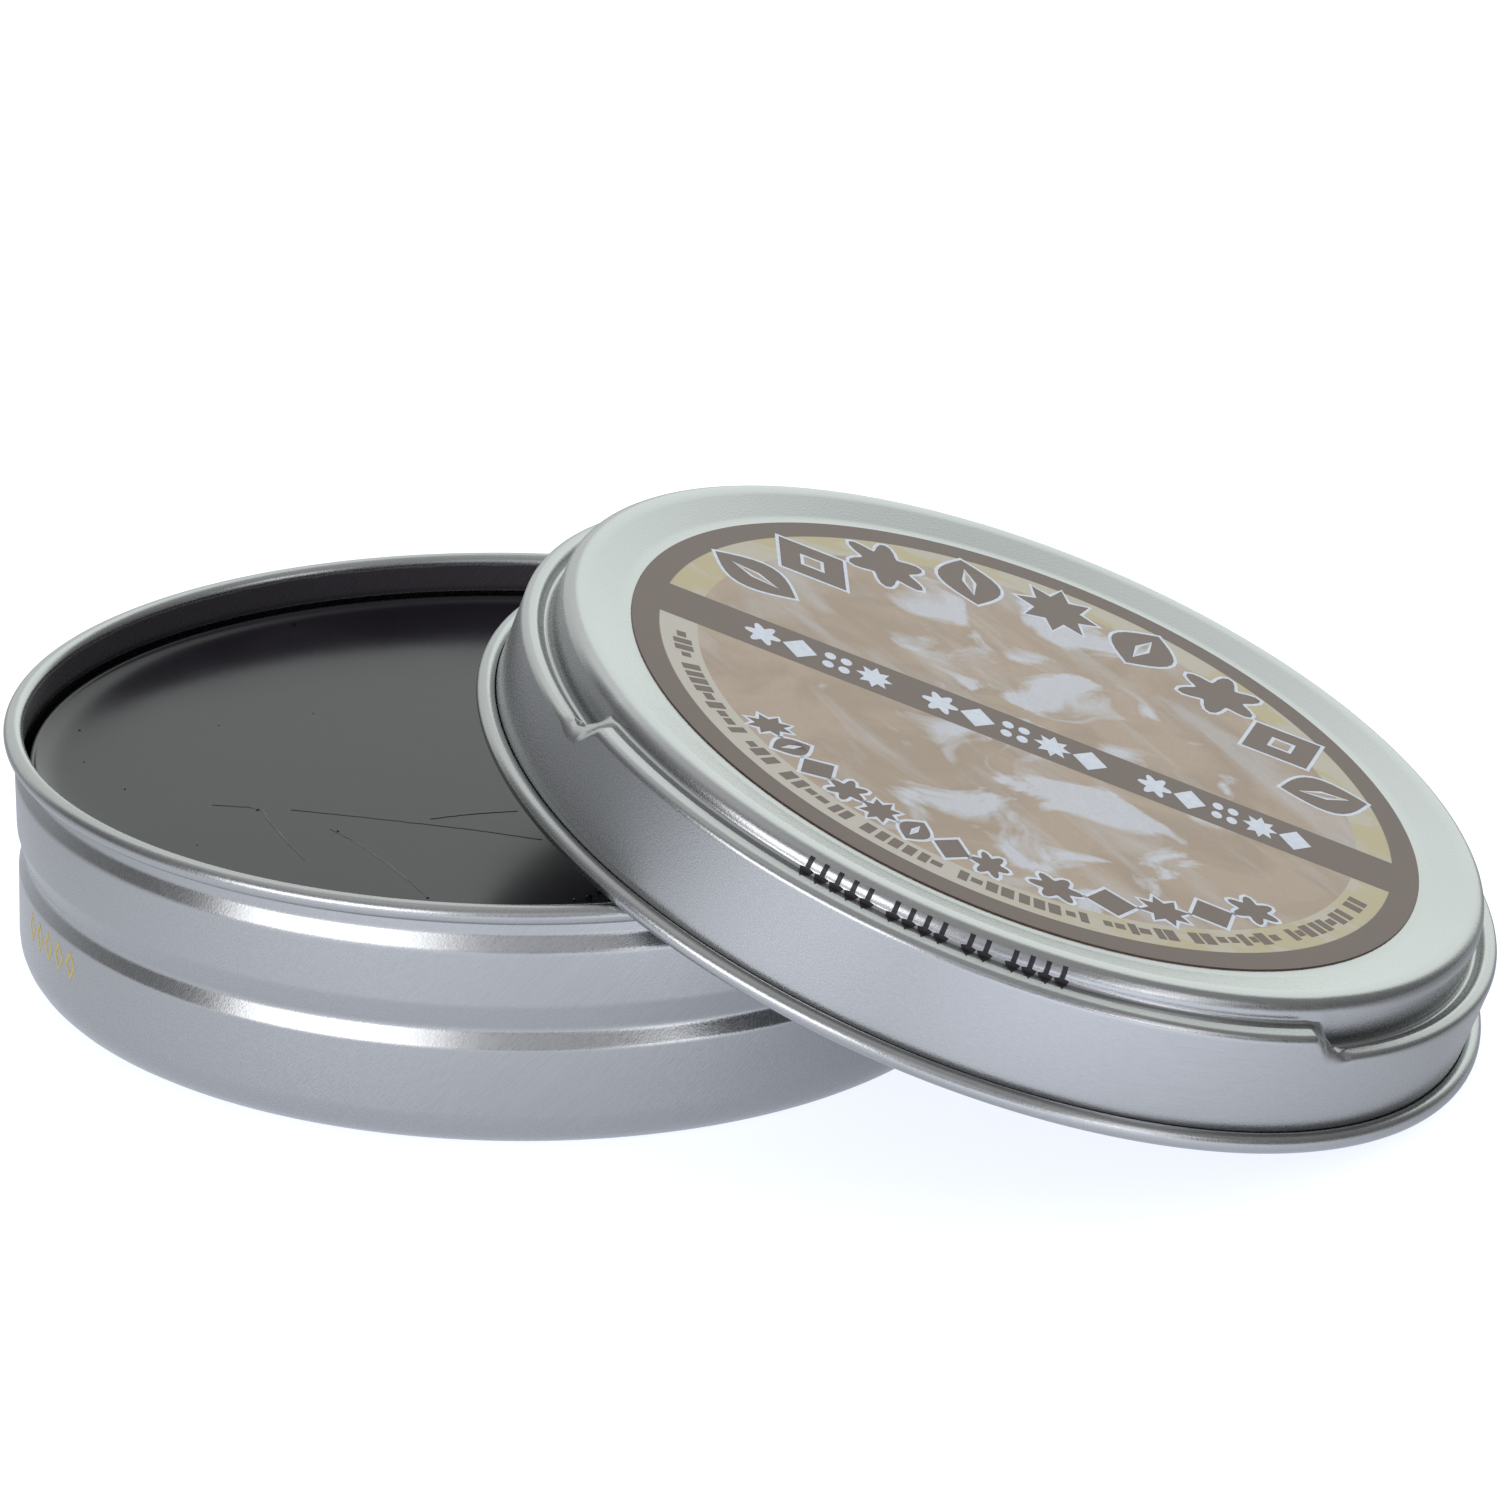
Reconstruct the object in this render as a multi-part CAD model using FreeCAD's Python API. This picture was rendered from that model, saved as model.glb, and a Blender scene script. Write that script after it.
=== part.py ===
import FreeCAD, Part
import math
import os

# Shoe polish tin, open: a drawn tinplate cup full of wax, with its lid lying
# half on the cup's rim and half on the ground. Millimetres, +Z up. The origin
# is on the cup's axis at the level it stands on, and the lid leans along +X.

# ---- driving dimensions ------------------------------------------------------

RIM_DIAMETER = 85.0        # over the curl around the cup's mouth
TIN_HEIGHT = 21.4          # from the ground to the top of that curl
SHEET = 0.22               # tinplate thickness

# cup
CURL_RADIUS = 0.80         # outside radius of the rolled edge
CURL_SWEEP = 290.0         # how far the edge is rolled over, degrees
WALL_RADIUS = 41.35        # lower wall, outside
CORNER_RADIUS = 3.2        # between base and wall
FLARE_BOTTOM = 8.9         # where the lower wall starts to draw in
GROOVE_RADIUS = 40.8       # waist between the lower wall and the bead
GROOVE_HEIGHT = 10.4
BEAD_RADIUS = 41.6         # widest part of the belt that the lid grips
BEAD_TAPER = 0.12
BEAD_BOTTOM = 12.6
BEAD_TOP = 17.3
NECK_BOTTOM = 18.6
FOOT_INNER_RADIUS = 35.6   # the base stands on the ring outside this radius
FOOT_RAMP = 1.0
BASE_RECESS = 0.55
FOOT_ROUNDING = 0.7        # outside bend radii, here and below
FLARE_ROUNDING = 1.0
BEAD_BOTTOM_ROUNDING = 1.6
BEAD_TOP_ROUNDING = 1.4
NECK_ROUNDING = 1.0

# wax
WAX_RADIUS = 40.3          # it shrinks a little away from the wall as it sets
WAX_LEVEL = 17.0

# lid, with heights above the lowest edge of its own hem
HEM_RADIUS = 44.2          # over the rolled hem
HEM_TUBE = 0.82            # outside radius of the roll
LID_HEIGHT = 11.95
SHOULDER_RADIUS = 40.35
PANEL_RADIUS = 36.0        # flat middle of the top
PANEL_RAMP = 2.6
PANEL_RECESS = 0.80
PANEL_ROUNDING = 5.0       # outside bend radii, from the panel's edge down to the skirt
RAMP_ROUNDING = 3.0
SHOULDER_ROUNDING = 1.2
CREASE_ROUNDING = 0.35
RIDGE_ROUNDING = 0.5
SKIRT_ROUNDING = 0.65
WALL_DRAFT = 0.15          # the upper wall is this much wider at its foot
RIDGE_OFFSET = 1.0         # from the upper wall's foot out to the ridge's crest
SKIRT_RADIUS = 42.8        # outside of the skirt that slips over the rim
PRESS_CENTRE = -87.4       # azimuth of the press arc's middle, from the downhill side
PRESS_SWEEP = 98.4
# heights on the step between upper wall and skirt: (foot of the upper wall,
# crest of the ridge, top corner of the skirt), around most of the lid and
# over the arc that is pressed to open it
PLAIN_STEP = (7.1, 8.5, 8.25)
PRESS_STEP = (10.3, 10.35, 10.15)

# label
LABEL_RADIUS = 34.5
LABEL_THICKNESS = 0.12

# resting pose of the lid
LEAN = 19.05               # tilt of the lid, degrees
FLOOR_GAP = 0.03           # play left under the hem's lowest point
RIM_GAP = 0.06             # play left where the hem lies on the cup's curl
SEARCH_FROM = 30.0         # hem's middle this far from the cup's axis: it cuts into the rim
SEARCH_TO = 60.0           # and here it stands clear of the rim
SEARCH_STEP = 0.0001
SAMPLES = 7200             # points round half of the hem

V = FreeCAD.Vector
TURN = 360.0               # degrees


# ---- profiles ----------------------------------------------------------------

def unit(a, b):
    """Unit vector in the XZ plane from corner a to corner b."""
    dx, dz = b[0] - a[0], b[1] - a[1]
    length = math.hypot(dx, dz)
    return dx / length, dz / length


def rounded_path(corners):
    """Edges through (x, z, radius) corners, with a tangent arc at each rounded one."""
    edges = []
    start = V(corners[0][0], 0, corners[0][1])
    for before, here, after in zip(corners, corners[1:], corners[2:]):
        (ix, iz), (ox, oz) = unit(before, here), unit(here, after)
        turn = math.atan2(ix * oz - iz * ox, ix * ox + iz * oz)
        reach = here[2] * math.tan(abs(turn) / 2)
        into = V(here[0] - ix * reach, 0, here[1] - iz * reach)
        out = V(here[0] + ox * reach, 0, here[1] + oz * reach)
        bow = here[2] * (1 / math.cos(turn / 2) - 1)
        mx, mz = ox - ix, oz - iz
        length = math.hypot(mx, mz)
        middle = V(here[0] + bow * mx / length, 0, here[1] + bow * mz / length)
        edges.append(Part.makeLine(start, into))
        edges.append(Part.Arc(into, middle, out).toShape())
        start = out
    edges.append(Part.makeLine(start, V(corners[-1][0], 0, corners[-1][1])))
    return edges


def moved_left(corners, distance):
    """The path moved sideways, to the left of its direction, with concentric arcs."""
    result = []
    for i, (x, z, radius) in enumerate(corners):
        first = unit(corners[i - 1], corners[i]) if i > 0 else unit(corners[0], corners[1])
        second = unit(corners[i], corners[i + 1]) if i + 1 < len(corners) else first
        turn = math.atan2(first[0] * second[1] - first[1] * second[0],
                          first[0] * second[0] + first[1] * second[1])
        nx, nz = -first[1] - second[1], first[0] + second[0]
        scale = distance / (math.cos(turn / 2) * math.hypot(nx, nz))
        result.append((x + nx * scale, z + nz * scale,
                       radius - distance * math.copysign(1, turn) if radius else 0.0))
    return result


def filled(corners, start, sweep):
    """Solid of revolution between the axis and a path, over part of a turn."""
    first, last = corners[0], corners[-1]
    end = V(last[0], 0, last[1])
    edges = rounded_path(corners)
    edges.append(Part.makeLine(end, V(0, 0, last[1])))
    edges.append(Part.makeLine(V(0, 0, last[1]), V(0, 0, first[1])))
    face = Part.Face(Part.Wire(Part.__sortEdges__(edges)))
    face.rotate(V(0, 0, 0), V(0, 0, 1), start)
    return face.revolve(V(0, 0, 0), V(0, 0, 1), sweep)


def rolled_edge(centre_radius, centre_height, tube, toward):
    """A sheet edge rolled outward about a circle; toward is 1 over the top, -1 underneath."""
    def point(radius, angle):
        a = math.radians(angle)
        return V(centre_radius + radius * math.cos(a), 0, centre_height + radius * math.sin(a))

    begin, finish = 180.0, 180.0 - toward * CURL_SWEEP
    middle = (begin + finish) / 2
    inner = tube - SHEET
    edges = [
        Part.Arc(point(tube, begin), point(tube, middle), point(tube, finish)).toShape(),
        Part.makeLine(point(tube, finish), point(inner, finish)),
        Part.Arc(point(inner, finish), point(inner, middle), point(inner, begin)).toShape(),
        Part.makeLine(point(inner, begin), point(tube, begin)),
    ]
    face = Part.Face(Part.Wire(edges))
    return face.revolve(V(0, 0, 0), V(0, 0, 1), TURN)


# ---- cup and wax -------------------------------------------------------------

curl_centre = RIM_DIAMETER / 2 - CURL_RADIUS
curl_height = TIN_HEIGHT - CURL_RADIUS
neck_radius = curl_centre - CURL_RADIUS + SHEET


def make_tin_body():
    """Drawn cup: recessed base on a ring foot, waist, bead, neck and rolled rim."""
    outside = [
        (0.0, BASE_RECESS, 0.0),
        (FOOT_INNER_RADIUS - FOOT_RAMP, BASE_RECESS, FOOT_ROUNDING),
        (FOOT_INNER_RADIUS, 0.0, FOOT_ROUNDING),
        (WALL_RADIUS, 0.0, CORNER_RADIUS),
        (WALL_RADIUS, FLARE_BOTTOM, FLARE_ROUNDING),
        (GROOVE_RADIUS, GROOVE_HEIGHT, FLARE_ROUNDING),
        (BEAD_RADIUS - BEAD_TAPER, BEAD_BOTTOM, BEAD_BOTTOM_ROUNDING),
        (BEAD_RADIUS, BEAD_TOP, BEAD_TOP_ROUNDING),
        (neck_radius, NECK_BOTTOM, NECK_ROUNDING),
        (neck_radius, curl_height, 0.0),
    ]
    inside = moved_left(outside, SHEET)
    cup = filled(outside, 0, TURN).cut(filled(inside, 0, TURN))
    rim = rolled_edge(curl_centre, curl_height, CURL_RADIUS, 1)
    return cup.fuse(rim).removeSplitter()


def make_wax():
    """Cake of polish, cast in the cup, with a flat top below the rim."""
    cake = [
        (0.0, BASE_RECESS + SHEET, 0.0),
        (WAX_RADIUS, BASE_RECESS + SHEET, CORNER_RADIUS),
        (WAX_RADIUS, WAX_LEVEL, 0.0),
    ]
    return filled(cake, 0, TURN)


# ---- lid ---------------------------------------------------------------------

hem_centre = HEM_RADIUS - HEM_TUBE
panel_height = LID_HEIGHT - PANEL_RECESS


def lid_outside(step):
    """Outer half section of the lid, from the middle of its top down to the hem."""
    foot_height, crest_height, corner_height = step
    foot = SHOULDER_RADIUS + WALL_DRAFT
    return [
        (0.0, panel_height, 0.0),
        (PANEL_RADIUS, panel_height, PANEL_ROUNDING),
        (PANEL_RADIUS + PANEL_RAMP, LID_HEIGHT, RAMP_ROUNDING),
        (SHOULDER_RADIUS, LID_HEIGHT, SHOULDER_ROUNDING),
        (foot, foot_height, CREASE_ROUNDING),
        (foot + RIDGE_OFFSET, crest_height, RIDGE_ROUNDING),
        (SKIRT_RADIUS, corner_height, SKIRT_ROUNDING),
        (SKIRT_RADIUS, HEM_TUBE, 0.0),
    ]


def lid_solid(inset):
    """The lid's body filled to its axis, inset from its outside by a thickness."""
    plain = moved_left(lid_outside(PLAIN_STEP), -inset)
    press = moved_left(lid_outside(PRESS_STEP), -inset)
    sweep = PRESS_SWEEP - math.degrees(2 * inset / SKIRT_RADIUS)
    start = PRESS_CENTRE - sweep / 2
    return filled(press, start, sweep).fuse(filled(plain, start + sweep, TURN - sweep))


def make_lid():
    """Drawn lid with a stepped shoulder, a raised press arc and a rolled hem."""
    shell = lid_solid(0.0).cut(lid_solid(SHEET))
    hem = rolled_edge(hem_centre, HEM_TUBE, HEM_TUBE, -1)
    return shell.fuse(hem).removeSplitter()


def make_label():
    """Round paper sticker on the flat middle of the lid."""
    return Part.makeCylinder(LABEL_RADIUS, LABEL_THICKNESS, V(0, 0, panel_height))


# ---- resting pose of the lid -------------------------------------------------

lean = math.radians(LEAN)
hem_height = hem_centre * math.sin(lean) + HEM_TUBE + FLOOR_GAP


def hem_to_rim(reach):
    """Least distance between the centre circles of the hem's roll and the rim's curl.

    reach is how far the middle of the hem is from the cup's axis."""
    nearest = math.inf
    for i in range(SAMPLES):
        angle = math.pi * i / SAMPLES
        along, across = hem_centre * math.cos(angle), hem_centre * math.sin(angle)
        x = reach + along * math.cos(lean)
        z = hem_height - along * math.sin(lean)
        off_circle = math.hypot(x, across) - curl_centre
        nearest = min(nearest, math.hypot(off_circle, z - curl_height))
    return nearest


def lid_placement():
    """Where the lid lies: its hem on the ground at +X, and on the rim at two points."""
    wanted = CURL_RADIUS + HEM_TUBE + RIM_GAP
    near, far = SEARCH_FROM, SEARCH_TO
    while far - near > SEARCH_STEP:
        middle = (near + far) / 2
        if hem_to_rim(middle) < wanted:
            near = middle
        else:
            far = middle
    x = far - HEM_TUBE * math.sin(lean)
    z = hem_height - HEM_TUBE * math.cos(lean)
    return FreeCAD.Placement(V(x, 0, z), FreeCAD.Rotation(V(0, 1, 0), LEAN))


# ---- build -------------------------------------------------------------------

def main():
    place = lid_placement()
    pose = place.toMatrix()
    nodes = {
        "tin_body": make_tin_body(),
        "wax_polish": make_wax(),
        "lid": make_lid().transformed(pose, True),
        "lid_label": make_label().transformed(pose, True),
    }
    os.makedirs("parts", exist_ok=True)
    for name, shape in nodes.items():
        shape.exportStep("parts/" + name + ".step")
        print(name, "solids", len(shape.Solids), "valid", shape.isValid(),
              "volume %.1f mm3" % shape.Volume)
    gap = nodes["lid"].distToShape(nodes["tin_body"])[0]
    box = nodes["lid"].optimalBoundingBox()
    print("lid middle at x %.3f z %.3f" % (place.Base.x, place.Base.z))
    print("lid to cup %.3f mm, lid to ground %.3f mm" % (gap, box.ZMin))
    print("lid reaches x %.2f, y %.2f, z %.2f" % (box.XMax, box.YMax, box.ZMax))


main()
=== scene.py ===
import bmesh
import bpy
import math
import random
from mathutils import Matrix, Vector, noise
from mathutils.geometry import tessellate_polygon


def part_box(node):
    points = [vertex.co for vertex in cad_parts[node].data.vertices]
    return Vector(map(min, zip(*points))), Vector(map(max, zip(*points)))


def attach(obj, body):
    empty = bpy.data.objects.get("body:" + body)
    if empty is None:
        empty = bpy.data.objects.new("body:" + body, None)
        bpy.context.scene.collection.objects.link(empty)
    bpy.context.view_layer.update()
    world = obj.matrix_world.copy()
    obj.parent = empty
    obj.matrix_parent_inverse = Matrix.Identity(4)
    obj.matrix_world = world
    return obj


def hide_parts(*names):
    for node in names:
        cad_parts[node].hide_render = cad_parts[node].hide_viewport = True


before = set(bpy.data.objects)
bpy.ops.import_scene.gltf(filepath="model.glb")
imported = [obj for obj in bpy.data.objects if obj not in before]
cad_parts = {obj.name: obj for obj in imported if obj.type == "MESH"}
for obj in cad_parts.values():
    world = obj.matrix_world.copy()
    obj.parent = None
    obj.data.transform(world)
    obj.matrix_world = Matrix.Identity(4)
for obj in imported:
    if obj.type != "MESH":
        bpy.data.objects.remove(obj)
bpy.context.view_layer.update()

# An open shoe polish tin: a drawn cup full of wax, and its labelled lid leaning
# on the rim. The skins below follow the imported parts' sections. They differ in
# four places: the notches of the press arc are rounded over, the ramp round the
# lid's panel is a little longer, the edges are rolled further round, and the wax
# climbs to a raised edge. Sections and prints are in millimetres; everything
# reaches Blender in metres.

MM = 0.001

# ---- sizes of the tin --------------------------------------------------------

SHEET = 0.22                     # tinplate thickness
ROLL_SWEEP = 306                 # how far a sheet edge is rolled over, degrees

RIM_RADIUS, RIM_TUBE = 42.5, 0.80
TIN_HEIGHT = 21.4
BASE_RECESS = 0.55
WALL_RADIUS, CORNER_RADIUS = 41.35, 3.2
NECK_RADIUS = RIM_RADIUS - 2 * RIM_TUBE + SHEET
CUP_OUTSIDE = (                  # radius, height, rounding
    (0, BASE_RECESS, 0),
    (34.6, BASE_RECESS, 0.7),
    (35.6, 0, 0.7),
    (WALL_RADIUS, 0, CORNER_RADIUS),
    (WALL_RADIUS, 8.9, 1.0),
    (40.8, 10.4, 1.0),
    (41.48, 12.6, 1.6),
    (41.6, 17.3, 1.4),
    (NECK_RADIUS, 18.6, 1.0),
    (NECK_RADIUS, TIN_HEIGHT - RIM_TUBE, 0),
)

WAX_RADIUS = 40.3
WAX_LEVEL = 18.0                 # at its edge; WAX_SUNK lower in the middle, as packed

HEM_RADIUS, HEM_TUBE = 44.2, 0.82
LID_HEIGHT = 11.95
PANEL_HEIGHT = LID_HEIGHT - 0.80
SHOULDER_RADIUS = 40.35
FOOT_RADIUS, CREST_RADIUS, SKIRT_RADIUS = 40.5, 41.5, 42.8
CREASE_ROUNDING, RIDGE_ROUNDING, SKIRT_ROUNDING = 0.35, 0.5, 0.65
PRESS_CENTRE, PRESS_SWEEP = -87.4, 98.4    # azimuth of the press arc's middle, and its sweep
PLAIN_STEP = (7.1, 8.5, 8.25)    # heights of the wall's foot, the ridge and the skirt's corner
PRESS_STEP = (10.3, 10.35, 10.15)

LABEL_RADIUS, LABEL_THICKNESS = 34.5, 0.12
LABEL_TOP = PANEL_HEIGHT + LABEL_THICKNESS
LABEL_TURN = 7.8                 # the print is turned this far on the lid, degrees

LEAN = math.radians(19.05)


# ---- placing the lid ---------------------------------------------------------

def lid_place():
    """The lid's own frame: its axis tilted, its origin in the plane of its hem's lowest edge."""
    low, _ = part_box("lid")
    centre = (HEM_RADIUS - HEM_TUBE) * MM
    x = low.x + centre * math.cos(LEAN) + HEM_TUBE * MM
    z = low.z + centre * math.sin(LEAN) + HEM_TUBE * MM
    axis = Vector((math.sin(LEAN), 0, math.cos(LEAN)))
    origin = Vector((x, 0, z)) - axis * HEM_TUBE * MM
    return Matrix.Translation(origin) @ Matrix.Rotation(LEAN, 4, "Y")


LID_PLACE = lid_place()
TIN_PLACE = Matrix.Identity(4)


# ---- sections ----------------------------------------------------------------

ROUNDING_POINTS = 7
HOLLOW_POINTS, ROLL_POINTS = 18, 32        # round the inside and the outside of a rolled edge
SUPPORT = 0.14                   # extra points keep the shading flat this near to a bend
LONG_RUN = 9.0                   # a straight run is divided where it is longer than this


def outline(corners):
    """Points (radius, height) along a path of corners, with an arc at each rounded one."""
    path = [Vector(c[:2]) for c in corners]
    points = [path[0]]
    for i in range(1, len(path) - 1):
        into = (path[i] - path[i - 1]).normalized()
        out = (path[i + 1] - path[i]).normalized()
        turn = math.atan2(into.x * out.y - into.y * out.x, into.dot(out))
        rounding = corners[i][2]
        reach = rounding * math.tan(abs(turn) / 2)
        start, end = path[i] - into * reach, path[i] + out * reach
        side = math.copysign(1, turn)
        centre = start + Vector((-into.y, into.x)) * side * rounding
        run(points, start)
        spoke = start - centre
        for k in range(1, ROUNDING_POINTS):
            angle = turn * k / ROUNDING_POINTS
            c, s = math.cos(angle), math.sin(angle)
            points.append(centre + Vector((spoke.x * c - spoke.y * s, spoke.x * s + spoke.y * c)))
        points.append(end)
    run(points, path[-1])
    return points


def run(points, end):
    """Adds a straight run to end, with a support point near each of its ends."""
    start = points[-1]
    along = end - start
    inset = along.normalized() * min(SUPPORT, along.length / 3)
    pieces = max(1, math.ceil(along.length / LONG_RUN))
    points.append(start + inset)
    for k in range(1, pieces):
        points.append(start + along * k / pieces)
    points.append(end - inset)
    points.append(end)


def moved_in(points, distance):
    """The path moved sideways by a sheet's thickness, to the left of its direction."""
    moved = []
    for i, point in enumerate(points):
        before = points[max(i - 1, 0)]
        after = points[min(i + 1, len(points) - 1)]
        along = (after - before).normalized()
        moved.append(point + Vector((-along.y, along.x)) * distance)
    moved[0].x = points[0].x
    return moved


def roll(centre, tube, toward, count):
    """Points round a rolled edge, from where it leaves the wall; toward is 1 over, -1 under."""
    angles = [math.radians(180 - toward * ROLL_SWEEP * k / count) for k in range(count + 1)]
    return [centre + Vector((math.cos(a), math.sin(a))) * tube for a in angles]


def sheet_section(outside, inward, centre, tube, toward):
    """Whole section of a drawn sheet with a rolled edge: outside, roll, and back inside."""
    inside = moved_in(outside, inward)
    hollow = roll(centre, tube - SHEET, toward, HOLLOW_POINTS)
    outer = roll(centre, tube, toward, ROLL_POINTS)
    return outside + hollow[1:] + outer[::-1][:-1] + inside[::-1]


# ---- meshes ------------------------------------------------------------------

SHARP_ANGLE = math.radians(40)


def add_piece(name, vertices, faces, material, place, body, slot, replaced=()):
    """A mesh piece from points in metres, given in its part's own frame, riding on a body."""
    mesh = bpy.data.meshes.new(name)
    mesh.from_pydata([place @ Vector(v) for v in vertices], [], faces)
    shape = bmesh.new()
    shape.from_mesh(mesh)
    bmesh.ops.recalc_face_normals(shape, faces=shape.faces)
    shape.to_mesh(mesh)
    shape.free()
    mesh.polygons.foreach_set("use_smooth", [True] * len(mesh.polygons))
    mesh.set_sharp_from_angle(angle=SHARP_ANGLE)
    mesh.materials.append(material)
    piece = bpy.data.objects.new(name, mesh)
    bpy.context.scene.collection.objects.link(piece)
    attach(piece, body)
    if replaced:
        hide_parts(*replaced)
    return piece


def polar(azimuth, radius, height):
    """Point in metres at an azimuth in degrees, and a radius and height in millimetres."""
    angle = math.radians(azimuth)
    return Vector((radius * math.cos(angle), radius * math.sin(angle), height)) * MM


def lathe(azimuths, section):
    """Vertices and faces of a closed skin; section(azimuth) runs from the axis to the axis."""
    rings = [section(a) for a in azimuths]
    count = len(rings[0]) - 2
    vertices = [polar(a, p.x, p.y) for a, ring in zip(azimuths, rings) for p in ring[1:-1]]
    first, last = len(vertices), len(vertices) + 1
    vertices += [polar(0, 0, rings[0][0].y), polar(0, 0, rings[0][-1].y)]
    faces = []
    for i in range(len(rings)):
        a, b = i * count, (i + 1) % len(rings) * count
        faces.append((first, b, a))
        faces.append((last, a + count - 1, b + count - 1))
        faces += [(a + k, b + k, b + k + 1, a + k + 1) for k in range(count - 1)]
    return vertices, faces


# ---- materials ---------------------------------------------------------------

def add_node(tree, kind, settings=(), **inputs):
    """Adds a node. An input goes by its name, or as i0, i1 and so on by its number."""
    node = tree.nodes.new(kind)
    for key, value in dict(settings).items():
        setattr(node, key, value)
    for key, value in inputs.items():
        by_number = key[0] == "i" and key[1:].isdigit()
        plug(tree, node.inputs[int(key[1:]) if by_number else key.replace("_", " ")], value)
    return node


def plug(tree, socket, value):
    """Links a socket to another one, or sets its value."""
    if isinstance(value, bpy.types.NodeSocket):
        tree.links.new(value, socket)
    else:
        socket.default_value = value


class Recipe:
    """A material being put together from nodes, over coordinates in a part's own frame."""

    def __init__(self, name, place, turn=0.0, **shader):
        self.material = bpy.data.materials.new(name)
        self.material.use_nodes = True
        self.tree = self.material.node_tree
        self.shader = self.tree.nodes["Principled BSDF"]
        for socket, value in shader.items():
            self.shader.inputs[socket.replace("_", " ")].default_value = value
        own = place @ Matrix.Rotation(math.radians(turn), 4, "Z")
        world = self.node("ShaderNodeTexCoord").outputs["Object"]
        self.place = self.node("ShaderNodeMapping", {"vector_type": "TEXTURE"}, Vector=world,
                               Location=own.to_translation(), Rotation=own.to_euler()).outputs[0]

    def node(self, kind, settings=(), **inputs):
        return add_node(self.tree, kind, settings, **inputs)

    def math(self, operation, a, b=0.0, c=0.0):
        node = self.node("ShaderNodeMath", {"operation": operation}, i0=a, i1=b, i2=c)
        return node.outputs[0]

    def noise(self, grain, turn=(0, 0, 0), detail=2.0, distortion=0.0):
        """Noise from 0 to 1; grain is its size in millimetres along x, y and z, then turned."""
        size = [g * MM for g in grain]
        spread = self.node("ShaderNodeMapping", {"vector_type": "TEXTURE"}, Vector=self.place,
                           Scale=size, Rotation=[math.radians(t) for t in turn])
        return self.node("ShaderNodeTexNoise", Vector=spread.outputs[0], Scale=1.0, Detail=detail,
                         Roughness=0.5, Distortion=distortion).outputs["Fac"]

    def axes(self):
        """The three coordinates in millimetres."""
        split = self.node("ShaderNodeSeparateXYZ", Vector=self.place)
        return [self.math("MULTIPLY", socket, 1 / MM) for socket in split.outputs]

    def radius(self):
        """Distance from the part's axis, in millimetres."""
        x, y, _ = self.axes()
        flat = self.node("ShaderNodeCombineXYZ", X=x, Y=y)
        return self.node("ShaderNodeVectorMath", {"operation": "LENGTH"},
                         i0=flat.outputs[0]).outputs["Value"]

    def spread(self, value, low, high, to_low=0.0, to_high=1.0):
        """Maps low..high to to_low..to_high, held at the ends."""
        node = self.node("ShaderNodeMapRange", Value=value, From_Min=low, From_Max=high,
                         To_Min=to_low, To_Max=to_high)
        return node.outputs[0]

    def mix(self, share, a, b):
        """Colour a, turning into b as share goes from 0 to 1."""
        node = self.node("ShaderNodeMix", {"data_type": "RGBA"})
        for socket, value in (("Factor", share), ("A", a), ("B", b)):
            plug(self.tree, node.inputs[socket], value)
        return node.outputs["Result"]

    def set(self, socket, value):
        """Links or sets an input of the surface shader."""
        plug(self.tree, self.shader.inputs[socket], value)

    def relief(self, height, depth, before=None):
        """Adds bump of a depth in millimetres, on top of the bump before it."""
        bump = self.node("ShaderNodeBump", Height=height, Distance=depth * MM, Strength=1.0)
        if before is not None:
            self.tree.links.new(before, bump.inputs["Normal"])
        self.tree.links.new(bump.outputs[0], self.shader.inputs["Normal"])
        return bump.outputs[0]


def rgb(red, green, blue):
    return (red, green, blue, 1.0)


METAL_DARK, METAL_LIGHT = rgb(0.345, 0.353, 0.357), rgb(0.368, 0.377, 0.381)


def tinplate(name, place, grain_turn):
    """Satin tinplate: slanting drawing marks, a fine tooth, and faint handling marks."""
    made = Recipe(name, place, Metallic=1.0)
    grain = made.noise((7, 0.16, 0.16), turn=grain_turn, detail=2.0)
    tooth = made.noise((0.17, 0.17, 0.17), detail=1.0)
    cloud = made.noise((16, 16, 16), detail=2.0)
    made.set("Base Color", made.mix(made.spread(grain, 0.3, 0.7), METAL_DARK, METAL_LIGHT))
    streaky = made.spread(grain, 0.25, 0.75, 0.23, 0.29)
    made.set("Roughness", made.math("MULTIPLY_ADD", made.spread(cloud, 0.3, 0.7), 0.03, streaky))
    bump = made.relief(tooth, 0.009)
    made.relief(grain, 0.0009, bump)
    return made


# A dark, non-metal film on the inner face of the neck, from just under the wax's edge up to a ragged
# line beside the rim.
FILM_COLOUR = rgb(0.048, 0.044, 0.050)
FILM_FROM = WAX_LEVEL - 0.6      # the film starts just under the wax's edge
FILM_TO = TIN_HEIGHT - 0.75      # and ends, ragged, beside the rolled rim
FILM_RADIUS = NECK_RADIUS - 0.07           # between the inner and outer faces of the neck


def cup_tinplate():
    """Tinplate with a dark, non-metal film on the inner face of the neck above the cake."""
    made = tinplate("tinplate_cup", TIN_PLACE, (0, -45, 20))
    height = made.axes()[2]
    ragged = made.math("MULTIPLY_ADD", made.noise((2.5, 2.5, 2.5)), 0.3, height)
    inner = made.spread(made.radius(), FILM_RADIUS - 0.02, FILM_RADIUS + 0.02, 1.0, 0.0)
    above = made.spread(height, FILM_FROM, FILM_FROM + 0.1)
    below = made.spread(ragged, FILM_TO, FILM_TO + 0.2, 1.0, 0.0)
    film = made.math("MULTIPLY", inner, made.math("MULTIPLY", above, below))
    metal = made.shader.inputs["Base Color"].links[0].from_socket
    made.set("Base Color", made.mix(film, metal, FILM_COLOUR))
    made.set("Metallic", made.math("SUBTRACT", 1.0, film))
    return made.material


WAX_DARK, WAX_PALE = rgb(0.0105, 0.0086, 0.0135), rgb(0.0130, 0.0110, 0.0160)
WAX_SPECK = rgb(0.004, 0.003, 0.003)


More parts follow.
